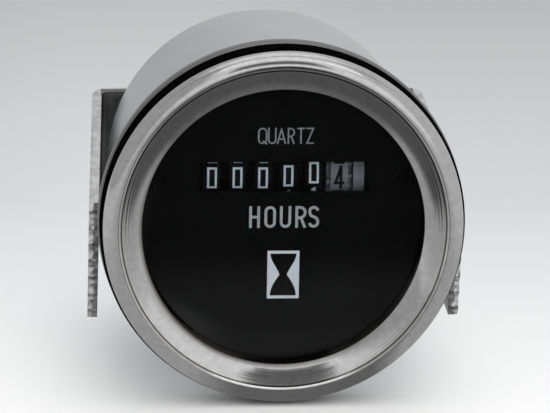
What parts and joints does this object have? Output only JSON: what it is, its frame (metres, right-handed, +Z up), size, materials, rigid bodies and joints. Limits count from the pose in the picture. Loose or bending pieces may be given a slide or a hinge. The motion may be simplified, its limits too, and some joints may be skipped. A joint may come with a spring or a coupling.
{
  "type": "panel hour meter",
  "caption": "Round panel hour meter with a polished bezel, a dark dial, a wheel counter behind a window, and a U-shaped clamp bracket on two studs at the back",
  "frame": {"origin": "On the axis of the case, in the plane of the panel seat, the rear face of the curled flange", "axes": "+Y runs from the dial to the rear along the case's axis, +Z is up on the dial, +X is to the right seen from the front"},
  "size_m": [0.0612, 0.0657, 0.059],
  "materials": {
    "case_steel": "satin",
    "gasket_rubber": "matte",
    "bezel_chrome": "polished",
    "lens_glass": "clear",
    "dial_black": "satin",
    "wheel_black": "satin",
    "wheel_white": "satin",
    "pinion_plastic": "semi-gloss",
    "frame_steel": "satin",
    "shaft_steel": "polished",
    "gear_brass": "satin",
    "bridge_brass": "brushed",
    "rotor_magnet": "matte",
    "stator_iron": "satin",
    "moulded_black": "matte",
    "copper_wire": "lacquered",
    "board_green": "semi-gloss",
    "crystal_can": "satin",
    "capacitor_sleeve": "gloss",
    "spacer_plastic": "matte",
    "tinned_brass": "bright",
    "zinc_plate": "satin"
  },
  "bodies": {
    "meter": {"case_can": "case_steel", "bezel_gasket": "gasket_rubber", "bezel": "bezel_chrome", "glass_lens": "lens_glass", "lens_seal": "gasket_rubber", "dial_plate": "dial_black", "dial_screws": "dial_black", "counter_frame": "frame_steel", "wheel_shaft": "shaft_steel", "pinion_shaft": "shaft_steel", "gear_bridge": "bridge_brass", "bridge_posts": "gear_brass", "bridge_screws": "shaft_steel", "motor_stator": "stator_iron", "coil_bobbin": "moulded_black", "coil_winding": "copper_wire", "circuit_board": "board_green", "timer_chip": "moulded_black", "quartz_crystal": "crystal_can", "smoothing_capacitor": "capacitor_sleeve", "frame_pillars": "gear_brass", "board_spacers": "spacer_plastic", "frame_screws": "shaft_steel", "terminal_block": "moulded_black", "terminal_blades": "tinned_brass", "mounting_studs": "zinc_plate", "case_washers": "zinc_plate", "case_nuts": "zinc_plate", "clamp_washers": "zinc_plate", "clamp_nuts": "zinc_plate"},
    "wheel_ten_thousands": {"wheel_ten_thousands": "wheel_black"},
    "wheel_thousands": {"wheel_thousands": "wheel_black"},
    "wheel_hundreds": {"wheel_hundreds": "wheel_black"},
    "wheel_tens": {"wheel_tens": "wheel_black"},
    "wheel_units": {"wheel_units": "wheel_black"},
    "wheel_tenths": {"wheel_tenths": "wheel_white", "drive_gear": "wheel_white"},
    "pinion_ten_thousands": {"pinion_ten_thousands": "pinion_plastic"},
    "pinion_thousands": {"pinion_thousands": "pinion_plastic"},
    "pinion_hundreds": {"pinion_hundreds": "pinion_plastic"},
    "pinion_tens": {"pinion_tens": "pinion_plastic"},
    "pinion_units": {"pinion_units": "pinion_plastic"},
    "first_arbor": {"first_arbor": "gear_brass"},
    "second_arbor": {"second_arbor": "gear_brass"},
    "motor_rotor": {"motor_rotor": "rotor_magnet"},
    "clamp_bracket": {"clamp_bracket": "zinc_plate"}
  },
  "joints": [
    {"name": "first_arbor_turn", "type": "hinge", "parent": "meter", "child": "first_arbor", "pos_m": [0.0152, 0.00967, 0.00019], "axis": [1, 0, 0], "continuous": true},
    {"name": "wheel_ten_thousands_turn", "type": "hinge", "parent": "meter", "child": "wheel_ten_thousands", "pos_m": [-0.01115, 0.0061, 0.0069], "axis": [-1, 0, 0], "continuous": true},
    {"name": "wheel_thousands_turn", "type": "hinge", "parent": "meter", "child": "wheel_thousands", "pos_m": [-0.00705, 0.0061, 0.0069], "axis": [-1, 0, 0], "continuous": true},
    {"name": "wheel_hundreds_turn", "type": "hinge", "parent": "meter", "child": "wheel_hundreds", "pos_m": [-0.00295, 0.0061, 0.0069], "axis": [-1, 0, 0], "continuous": true},
    {"name": "wheel_tens_turn", "type": "hinge", "parent": "meter", "child": "wheel_tens", "pos_m": [0.00115, 0.0061, 0.0069], "axis": [-1, 0, 0], "continuous": true},
    {"name": "wheel_units_turn", "type": "hinge", "parent": "meter", "child": "wheel_units", "pos_m": [0.00525, 0.0061, 0.0069], "axis": [-1, 0, 0], "continuous": true},
    {"name": "wheel_tenths_turn", "type": "hinge", "parent": "meter", "child": "wheel_tenths", "pos_m": [0.00935, 0.0061, 0.0069], "axis": [-1, 0, 0], "continuous": true},
    {"name": "pinion_ten_thousands_turn", "type": "hinge", "parent": "meter", "child": "pinion_ten_thousands", "pos_m": [-0.00915, 0.0145, 0.0069], "axis": [1, 0, 0], "continuous": true},
    {"name": "pinion_thousands_turn", "type": "hinge", "parent": "meter", "child": "pinion_thousands", "pos_m": [-0.00505, 0.0145, 0.0069], "axis": [1, 0, 0], "continuous": true},
    {"name": "pinion_hundreds_turn", "type": "hinge", "parent": "meter", "child": "pinion_hundreds", "pos_m": [-0.00095, 0.0145, 0.0069], "axis": [1, 0, 0], "continuous": true},
    {"name": "pinion_tens_turn", "type": "hinge", "parent": "meter", "child": "pinion_tens", "pos_m": [0.00315, 0.0145, 0.0069], "axis": [1, 0, 0], "continuous": true},
    {"name": "pinion_units_turn", "type": "hinge", "parent": "meter", "child": "pinion_units", "pos_m": [0.00725, 0.0145, 0.0069], "axis": [1, 0, 0], "continuous": true},
    {"name": "second_arbor_turn", "type": "hinge", "parent": "meter", "child": "second_arbor", "pos_m": [0.0166, 0.0174, -0.00188], "axis": [-1, 0, 0], "continuous": true},
    {"name": "motor_rotor_turn", "type": "hinge", "parent": "meter", "child": "motor_rotor", "pos_m": [0.018, 0.02363, 0.00172], "axis": [1, 0, 0], "continuous": true},
    {"name": "clamp_bracket_pitch", "type": "hinge", "parent": "meter", "child": "clamp_bracket", "pos_m": [0, 0.04935, 0], "axis": [-1, 0, 0], "range_deg": [0, 24]}
  ],
  "couplings": [
    {"joint": "wheel_ten_thousands_turn", "follows": "first_arbor_turn", "ratio": 0.0000026667},
    {"joint": "wheel_thousands_turn", "follows": "first_arbor_turn", "ratio": 0.000026667},
    {"joint": "wheel_hundreds_turn", "follows": "first_arbor_turn", "ratio": 0.00026667},
    {"joint": "wheel_tens_turn", "follows": "first_arbor_turn", "ratio": 0.0026667},
    {"joint": "wheel_units_turn", "follows": "first_arbor_turn", "ratio": 0.026667},
    {"joint": "wheel_tenths_turn", "follows": "first_arbor_turn", "ratio": 0.26667},
    {"joint": "pinion_ten_thousands_turn", "follows": "first_arbor_turn", "ratio": 0.0000066667},
    {"joint": "pinion_thousands_turn", "follows": "first_arbor_turn", "ratio": 0.000066667},
    {"joint": "pinion_hundreds_turn", "follows": "first_arbor_turn", "ratio": 0.00066667},
    {"joint": "pinion_tens_turn", "follows": "first_arbor_turn", "ratio": 0.0066667},
    {"joint": "pinion_units_turn", "follows": "first_arbor_turn", "ratio": 0.066667},
    {"joint": "second_arbor_turn", "follows": "first_arbor_turn", "ratio": 4},
    {"joint": "motor_rotor_turn", "follows": "first_arbor_turn", "ratio": 20}
  ]
}
